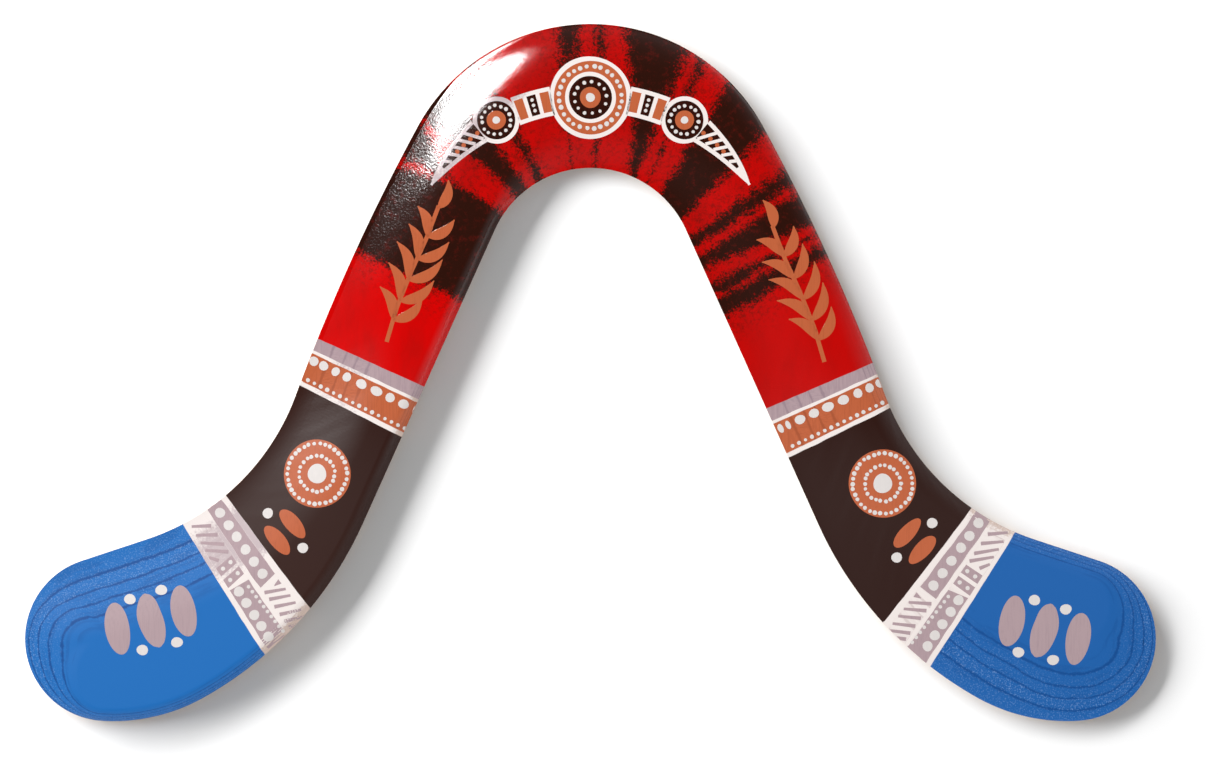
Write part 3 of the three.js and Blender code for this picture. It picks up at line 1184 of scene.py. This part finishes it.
def paint_outer_row(corners, mauve, white):
    """The tip's side of a wrist band: hatching, squares and a field with two rows of dots."""
    for start, end in OUTER_HATCH:
        mauve.ribbon((in_band(corners, *end), in_band(corners, *start)), hatch_half_width)
    for along in SQUARES:
        ends = (along - SQUARE_HALF_LENGTH, along + SQUARE_HALF_LENGTH)
        mauve.patch([in_band(corners, end, share) for end in ends for share in SQUARE_SHARES])
        for share in SQUARE_DOT_SHARES:
            white.dab(in_band(corners, along, share), SQUARE_DOT_RADIUS, lift=FILM_RISE)
    quad = []
    for start, share in zip(OUTER_FIELD_START, OUTER_FIELD_SHARES):
        quad += [in_band(corners, start, share), in_band(corners, 1, share)]
    mauve.patch(quad, to_edges=(False, True), wobble=FIELD_WOBBLE)
    for along in BIG_DOTS:
        white.dab(in_band(corners, along, BIG_DOT_SHARE), BAND_DOT_RADIUS, lift=FILM_RISE)
    first, last = (np.array(end) for end in SMALL_DOT_RANGE)
    for index in range(SMALL_DOTS):
        spot = first + (last - first) * index / (SMALL_DOTS - 1)
        white.dab(in_band(corners, *spot), SMALL_DOT_RADIUS, lift=FILM_RISE)


# The black fields: a ringed disc, with ovals and dots beside it, in pixels. A ring is its radius, its
# number of dots and their radius.
DISC_ORIGIN = {"left": (317.5, 473.6), "right": (882.2, 483.3)}
DISC_RADIUS = 33.8
DISC_CENTRE_RADIUS = 9.6
DISC_RINGS = ((17.8, 22, 2.0), (29.9, 34, 2.15))
FIELD_OVALS = ((-24.4, 49.7), (-39.6, 66.1))
FIELD_OVAL_RADII = (18.2, 7.6)
FIELD_OVAL_AXIS = (0.67, 0.74)
FIELD_DOTS = ((-49.3, 39.5), (-14.1, 74))
FIELD_DOT_RADIUS = 5.3
DOT_TURN_SLIP = 0.12
DOT_REACH_SLIP = 0.5
DOT_SIZE_RANGE = (0.86, 1.12)


def ring_of_dots(paint, centre, ring_radius, count, radius, lift):
    """Dots set round a circle by hand, a little out of step and of size."""
    start = random_draws.uniform(0, 1)
    for index in range(count):
        slip = random_draws.uniform(-DOT_TURN_SLIP, DOT_TURN_SLIP)
        turn = 2 * math.pi * (index + start + slip) / count
        reach = ring_radius + random_draws.uniform(-DOT_REACH_SLIP, DOT_REACH_SLIP)
        size = radius * random_draws.uniform(*DOT_SIZE_RANGE)
        place = (centre[0] + reach * math.cos(turn), centre[1] + reach * math.sin(turn))
        paint.dab(place, size, lift=lift)


def paint_discs():
    ochre = Paint("ringed_discs", OCHRE_PAINT)
    white = Paint("ringed_disc_dots", WHITE_PAINT)
    for side, origin in DISC_ORIGIN.items():
        ochre.dab(origin, DISC_RADIUS, rise=FILM_RISE, unevenness=DISC_UNEVENNESS)
        white.dab(origin, DISC_CENTRE_RADIUS, lift=FILM_RISE)
        for ring_radius, count, radius in DISC_RINGS:
            ring_of_dots(white, origin, ring_radius, count, radius, FILM_RISE)
        axis = mirrored(side, (0, 0), [FIELD_OVAL_AXIS])[0]
        for place in mirrored(side, origin, FIELD_OVALS):
            ochre.dab(place, *FIELD_OVAL_RADII, axis, FILM_RISE)
        for place in mirrored(side, origin, FIELD_DOTS):
            white.dab(place, FIELD_DOT_RADIUS)


# The ochre bands: two lines, a row of big dots and a row of small ones. Each big dot has its share
# along the band and its length against the usual one.
OCHRE_BIG_DOTS = {
    "left": (
        *((0.022, 1), (0.115, 1), (0.23, 0.85), (0.338, 0.9), (0.477, 1.15)),
        *((0.62, 1.25), (0.75, 1), (0.878, 1.1), (0.985, 0.4)),
    ),
    "right": (
        *((0.014, 0.9), (0.115, 0.9), (0.228, 0.95), (0.367, 1.2), (0.514, 1.25)),
        *((0.648, 1.05), (0.781, 1.1), (0.895, 0.5), (0.967, 0.6)),
    ),
}
OCHRE_LINES = ((LOWER_LINE_SHARE, LOWER_LINE_WIDTH_SHARE), (UPPER_LINE_SHARE, UPPER_LINE_WIDTH_SHARE))
OCHRE_BIG_DOT_SHARE = 0.535
OCHRE_BIG_DOT_RADII = (4.9, 4.7)
OCHRE_SMALL_DOTS = {"left": 16, "right": 15}
OCHRE_SMALL_DOT_RANGE = {"left": (0.04, 0.963), "right": (0.068, 0.934)}
OCHRE_SMALL_DOT_SHARE = 0.125
OCHRE_SMALL_DOT_RADIUS = 2.0
OCHRE_SMALL_DOT_SIZE_RANGE = (0.8, 1.15)


def paint_ochre_bands():
    cream = Paint("ochre_band_lines", CREAM_PAINT)
    white = Paint("ochre_band_dots", WHITE_PAINT)
    for side, corners in OCHRE_CORNERS.items():
        for middle, width in OCHRE_LINES:
            quad = band_quad(corners, 0, 1, middle - width / 2, middle + width / 2)
            cream.patch(quad, LINE_RISE, to_edges=(True, True), wobble=FIELD_WOBBLE)
        half_length, half_width = OCHRE_BIG_DOT_RADII
        direction = np.subtract(corners[1], corners[0])
        for along, stretch in OCHRE_BIG_DOTS[side]:
            place = in_band(corners, along, OCHRE_BIG_DOT_SHARE)
            white.dab(place, half_length * stretch, half_width, direction)
        for along in np.linspace(*OCHRE_SMALL_DOT_RANGE[side], OCHRE_SMALL_DOTS[side]):
            place = in_band(corners, along, OCHRE_SMALL_DOT_SHARE)
            size = random_draws.uniform(*OCHRE_SMALL_DOT_SIZE_RANGE)
            white.dab(place, OCHRE_SMALL_DOT_RADIUS * size)


# The elbow: ringed circles joined by ladders of cells, in angles round the fan's centre. A disc is
# its paint and radius. A ring of dots is its paint, radius, number, dots' radius and layer.
ARC_STEPS = 24
LAYER_LIFT = 0.025
MIDDLE_RADIUS = 207
GREAT_CIRCLE = (("cream", 41), ("ochre", 36.5), ("cream", 25.5), ("dark", 21.5), ("ochre", 10.5))
GREAT_CIRCLE_DOTS = (("white", 31.2, 28, 2.3, 2), ("white", 16.2, 13, 1.8, 4))
GREAT_CENTRE_RADIUS = 4.6
SMALL_CIRCLE_ANGLE = 27
SMALL_CIRCLE = (("cream", 23.5), ("dark", 19.2), ("ochre", 9.6))
SMALL_CIRCLE_DOTS = (("white", 14.5, 15, 1.9, 2),)
SMALL_CENTRE_RADIUS = 3.8
BRIDGE_ANGLES = (10.6, 21.2)
BRIDGE_HALF_WIDTH = 14.5
OUTLINE_WIDTH = 4.2
CELLS = ("ochre", "dark", "ochre")
CELL_GAP_DEGREES = 1.1
CELL_DOT_OFFSETS = (-5.5, 0, 5.5)
CELL_DOT_RADIUS = 1.8
TAIL_ANGLES = (32.6, 53)
TAIL_RADII = (206, 199)
TAIL_HALF_WIDTH = 13.5
LEAST_TAIL_HALF_WIDTHS = (1.2, 0.4)
TAIL_TAPER_POWER = 0.7
TAIL_RUNGS = 5
FIRST_RUNG = 0.8
TAIL_RUNG_HALF_WIDTH = 1.6
TAIL_INNER_SHARE = 0.72
TAIL_LEAN_DEGREES = 3.0
TAIL_DOT_MARGIN = 3.6
TAIL_DOT_RADIUS = 2.3


def on_fan(angle_degrees, radius):
    """The pixel at an angle from straight up round the fan's centre."""
    turn = math.radians(angle_degrees)
    east = FAN_CENTRE_PIXEL[0] + radius * math.sin(turn)
    down = FAN_CENTRE_PIXEL[1] - radius * math.cos(turn)
    return np.array([east, down])


def fan_arc(start, end, start_radius, end_radius):
    """Pixels along an arc that may move in or out on its way."""
    angles = np.linspace(start, end, ARC_STEPS + 1)
    radii = np.linspace(start_radius, end_radius, ARC_STEPS + 1)
    return [on_fan(*spot) for spot in zip(angles, radii)]


def paint_circle(paints, centre, discs, dot_rings, centre_radius):
    for level, (name, radius) in enumerate(discs):
        lift = LAYER_LIFT * level
        paints[name].dab(centre, radius, rise=FILM_RISE, lift=lift, unevenness=DISC_UNEVENNESS)
    for name, ring_radius, count, radius, level in dot_rings:
        ring_of_dots(paints[name], centre, ring_radius, count, radius, LAYER_LIFT * level)
    paints["white"].dab(centre, centre_radius, lift=LAYER_LIFT * len(discs))


def paint_bridge(paints, sign):
    """A short bar of cells between the great circle and a small one."""
    first, last = BRIDGE_ANGLES
    arc = fan_arc(sign * first, sign * last, MIDDLE_RADIUS, MIDDLE_RADIUS)
    paints["cream"].stroke(arc, BRIDGE_HALF_WIDTH)
    half = BRIDGE_HALF_WIDTH - OUTLINE_WIDTH
    radii = (MIDDLE_RADIUS - half, MIDDLE_RADIUS + half)
    step = (last - first) / len(CELLS)
    for index, name in enumerate(CELLS):
        start = sign * (first + step * index + CELL_GAP_DEGREES / 2)
        end = sign * (first + step * (index + 1) - CELL_GAP_DEGREES / 2)
        quad = [on_fan(angle, radius) for angle in (start, end) for radius in radii]
        paints[name].patch(quad, lift=LAYER_LIFT)
        if name == "dark":
            for offset in CELL_DOT_OFFSETS:
                place = on_fan((start + end) / 2, MIDDLE_RADIUS + offset)
                paints["white"].dab(place, CELL_DOT_RADIUS, lift=LAYER_LIFT * 2)


def tail_half_width(share):
    """Half the tail's width at a share of its length."""
    return TAIL_HALF_WIDTH * (1 - share) ** TAIL_TAPER_POWER


def outer_half_width(share):
    return max(tail_half_width(share), LEAST_TAIL_HALF_WIDTHS[0])


def inner_half_width(share):
    inside = tail_half_width(share * TAIL_INNER_SHARE) - OUTLINE_WIDTH
    return max(inside, LEAST_TAIL_HALF_WIDTHS[1])


def paint_tail(paints, sign):
    """A tapering band with leaning rungs, from a small circle down the arm."""
    start, end = (sign * angle for angle in TAIL_ANGLES)
    arc = fan_arc(start, end, *TAIL_RADII)
    paints["cream"].ribbon(arc, outer_half_width)
    inner_arc = arc[: round(len(arc) * TAIL_INNER_SHARE)]
    paints["dark"].ribbon(inner_arc, inner_half_width, lift=LAYER_LIFT)
    spaces = TAIL_RUNGS + FIRST_RUNG
    for rung in range(TAIL_RUNGS):
        share = (rung + FIRST_RUNG) / spaces
        reached = share * TAIL_INNER_SHARE
        angle = start + (end - start) * reached
        radius = TAIL_RADII[0] + (TAIL_RADII[1] - TAIL_RADII[0]) * reached
        half = inner_half_width(share)
        lean = sign * TAIL_LEAN_DEGREES * half / TAIL_HALF_WIDTH
        path = (on_fan(angle - lean, radius - half), on_fan(angle + lean, radius + half))
        paints["cream"].stroke(path, TAIL_RUNG_HALF_WIDTH, lift=LAYER_LIFT * 2)
        between = angle - (end - start) * TAIL_INNER_SHARE / spaces / 2
        if half > TAIL_DOT_MARGIN:
            paints["ochre"].dab(on_fan(between, radius), TAIL_DOT_RADIUS, lift=LAYER_LIFT * 2)


def paint_elbow():
    paints = {
        "cream": Paint("elbow_outlines", CREAM_PAINT),
        "ochre": Paint("elbow_ochre_cells", OCHRE_PAINT),
        "dark": Paint("elbow_dark_cells", DARK_PAINT),
        "white": Paint("elbow_dots", WHITE_PAINT),
    }
    middle = on_fan(0, MIDDLE_RADIUS)
    paint_circle(paints, middle, GREAT_CIRCLE, GREAT_CIRCLE_DOTS, GREAT_CENTRE_RADIUS)
    for sign in (-1, 1):
        paint_bridge(paints, sign)
        paint_tail(paints, sign)
        centre = on_fan(sign * SMALL_CIRCLE_ANGLE, MIDDLE_RADIUS)
        paint_circle(paints, centre, SMALL_CIRCLE, SMALL_CIRCLE_DOTS, SMALL_CENTRE_RADIUS)


# The arms: a leafy ochre sprig on each
SPRIG_ORIGIN = {"left": (413, 268), "right": (798, 288)}
SPRIG_STEM = ((-26, 74), (-16, 40), (-2, 5), (14, -30), (26, -62))
STEM_HALF_WIDTH = 2.1
LEAF_STARTS = (0.16, 0.3, 0.45, 0.6, 0.76, 0.98)
LEAF_LENGTHS = (36, 40, 40, 36, 32, 30)
LEAF_HALF_WIDTH = 5.5
LEAST_LEAF_HALF_WIDTH = 0.5
LEAF_POWERS = (0.8, 0.9)
LEAF_SPREAD_DEGREES = 38
LEAF_BEND = 0.16
LEAF_STEPS = 10


def leaf_half_width(share):
    """Half a leaf's width at a share of its length, which is widest nearer the stalk."""
    along, across = LEAF_POWERS
    half_width = LEAF_HALF_WIDTH * math.sin(math.pi * share ** along) ** across
    return max(half_width, LEAST_LEAF_HALF_WIDTH)


def turned(way, degrees):
    turn = math.radians(degrees)
    east = way[0] * math.cos(turn) - way[1] * math.sin(turn)
    return np.array([east, way[0] * math.sin(turn) + way[1] * math.cos(turn)])


def paint_leaf(paint, start, way, length):
    """A leaf from its stalk to its point, bent a little to one side."""
    side = np.array([-way[1], way[0]])
    path = []
    for step in range(LEAF_STEPS + 1):
        share = step / LEAF_STEPS
        bend = side * length * LEAF_BEND * math.sin(math.pi * share)
        path.append(start + way * length * share + bend)
    paint.ribbon(path, leaf_half_width)


def paint_sprigs():
    ochre = Paint("arm_sprigs", OCHRE_PAINT)
    for side, origin in SPRIG_ORIGIN.items():
        stem = np.array(mirrored(side, origin, SPRIG_STEM))
        ochre.stroke(stem, STEM_HALF_WIDTH)
        reach = len(stem) - 1
        for share, length in zip(LEAF_STARTS, LEAF_LENGTHS):
            spot = share * reach
            before = min(int(spot), reach - 1)
            step = stem[before + 1] - stem[before]
            start = stem[before] + step * (spot - before)
            spreads = (0,) if share == LEAF_STARTS[-1] else (-1, 1)
            for spread in spreads:
                way = turned(step / np.linalg.norm(step), spread * LEAF_SPREAD_DEGREES)
                paint_leaf(ochre, start, way, length)


# Painting, a piece for each colour of each ornament
paint_tips()
paint_wrist_bands()
paint_discs()
paint_ochre_bands()
paint_elbow()
paint_sprigs()
for ornament in ornaments:
    ornament.finish()

# The floor, in metres
FLOOR_HALF_SIZE = 4.0
FLOOR_DROP = 0.0025
FLOOR_MOTTLE = (0.01, 3.0, 0.5)
FLOOR_GREYS = ((0.84, 0.84, 0.84, 1), (0.86, 0.86, 0.86, 1))
FLOOR_ROUGHNESS = 0.9
FLOOR_SPECULAR_LEVEL = 0.1


def add_floor():
    half = FLOOR_HALF_SIZE
    mesh = bpy.data.meshes.new("floor")
    corners = [(-half, -half, 0), (half, -half, 0), (half, half, 0), (-half, half, 0)]
    mesh.from_pydata(corners, [], [(0, 1, 2, 3)])
    shader = Shader("pale_floor")
    colour = shader.mix(shader.noise(*FLOOR_MOTTLE), *FLOOR_GREYS)
    mesh.materials.append(shader.finished(colour, FLOOR_ROUGHNESS, FLOOR_SPECULAR_LEVEL))
    floor = placed("floor", mesh)
    floor.location.z = -FLOOR_DROP
    floor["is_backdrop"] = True
    return floor


# Light, in metres: a soft box and a weak fill for the object, a small near lamp that only its gloss
# reflects, a wide low lamp that throws the shadow on the floor, one that lifts that shadow, and a
# pale surround. A lamp's way is its azimuth from +X and its tilt from straight up, in degrees.
KEY_WAY = (133.5, 38.5)
KEY_DISTANCE = 2.4
KEY_ROLL_DEGREES = 25
KEY_SIZE = (0.66, 0.46)
KEY_RADIANCE = 45
LOW_WAY = (148, 69.8)
LOW_DISTANCE = 2.0
LOW_SIZE = (2.8, 0.535)
LOW_RADIANCE = 32.6
LIFT_WAY = (0, 0)
LIFT_STRENGTH = 0.42
FILL_WAY = (-50, 62)
FILL_STRENGTH = 1.0
SHINE_TARGET = (-0.043, 0.097, 0.004)
SHINE_WAY = (131.5, 33.4)
SHINE_DISTANCE = 0.2
SHINE_ROLL_DEGREES = 32
SHINE_SIZE = (0.133, 0.066)
SHINE_RADIANCE = 2.9
SHINE_SPREAD_DEGREES = 34
ZENITH_GREY = 0.05
HORIZON_GREY = 0.85


def add_lamp(name, kind, receivers, way, distance=1, roll_degrees=0, target=(0, 0, 0)):
    """A lamp that shines at the target, may be rolled and lights only its receivers."""
    azimuth, tilt = (math.radians(degrees) for degrees in way)
    level = math.sin(tilt)
    direction = Vector((level * math.cos(azimuth), level * math.sin(azimuth), math.cos(tilt)))
    lamp = placed(name, bpy.data.lights.new(name, kind))
    lamp.location = Vector(target) + direction * distance
    roll = Quaternion((0, 0, 1), math.radians(roll_degrees))
    lamp.rotation_euler = (direction.to_track_quat("Z", "Y") @ roll).to_euler()
    lamp.visible_camera = False
    lit = bpy.data.collections.new(name + "_receivers")
    for receiver in receivers:
        lit.objects.link(receiver)
    lamp.light_linking.receiver_collection = lit
    return lamp


def spread_out(lamp, shape, size, radiance):
    """Gives an area lamp its form, and the power that a rectangle of that radiance has."""
    lamp.data.shape = shape
    lamp.data.size, lamp.data.size_y = size
    lamp.data.energy = radiance * math.pi * size[0] * size[1]


def add_lamps(floor):
    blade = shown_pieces()
    key = add_lamp("soft_box", "AREA", blade, KEY_WAY, KEY_DISTANCE, KEY_ROLL_DEGREES)
    spread_out(key, "RECTANGLE", KEY_SIZE, KEY_RADIANCE)
    place = (SHINE_WAY, SHINE_DISTANCE, SHINE_ROLL_DEGREES, SHINE_TARGET)
    shine = add_lamp("shine_lamp", "AREA", blade, *place)
    spread_out(shine, "ELLIPSE", SHINE_SIZE, SHINE_RADIANCE)
    shine.visible_diffuse = False
    shine.data.spread = math.radians(SHINE_SPREAD_DEGREES)
    low = add_lamp("low_lamp", "AREA", [floor], LOW_WAY, LOW_DISTANCE)
    spread_out(low, "RECTANGLE", LOW_SIZE, LOW_RADIANCE)
    fill = add_lamp("fill", "SUN", blade, FILL_WAY)
    fill.data.energy = FILL_STRENGTH
    fill.visible_glossy = False
    lift = add_lamp("shadow_lift", "SUN", [floor], LIFT_WAY)
    lift.data.energy = LIFT_STRENGTH
    lift.data.use_shadow = False


def add_surround():
    world = bpy.data.worlds.new("pale_surround")
    world.use_nodes = True
    nodes, links = world.node_tree.nodes, world.node_tree.links
    background = nodes["Background"]
    coordinates = nodes.new("ShaderNodeTexCoord")
    parts = nodes.new("ShaderNodeSeparateXYZ")
    climb = nodes.new("ShaderNodeMapRange")
    climb.inputs["To Min"].default_value = HORIZON_GREY
    climb.inputs["To Max"].default_value = ZENITH_GREY
    links.new(coordinates.outputs["Generated"], parts.inputs[0])
    links.new(parts.outputs["Z"], climb.inputs["Value"])
    links.new(climb.outputs[0], background.inputs["Color"])
    bpy.context.scene.world = world


add_lamps(add_floor())
add_surround()

# The camera, straight above the middle of the photograph's frame
CAMERA_HEIGHT = 3000
view_middle = plan((PHOTO_WIDTH / 2, PHOTO_HEIGHT / 2))
camera_data = bpy.data.cameras.new("camera")
camera_data.lens = camera_data.sensor_width * CAMERA_HEIGHT / (PHOTO_WIDTH * PIXEL)
camera = placed("camera", camera_data)
camera.location = Vector((*view_middle, CAMERA_HEIGHT)) * MILLIMETRE
bpy.context.scene.camera = camera
bpy.context.scene.view_settings.view_transform = "Standard"
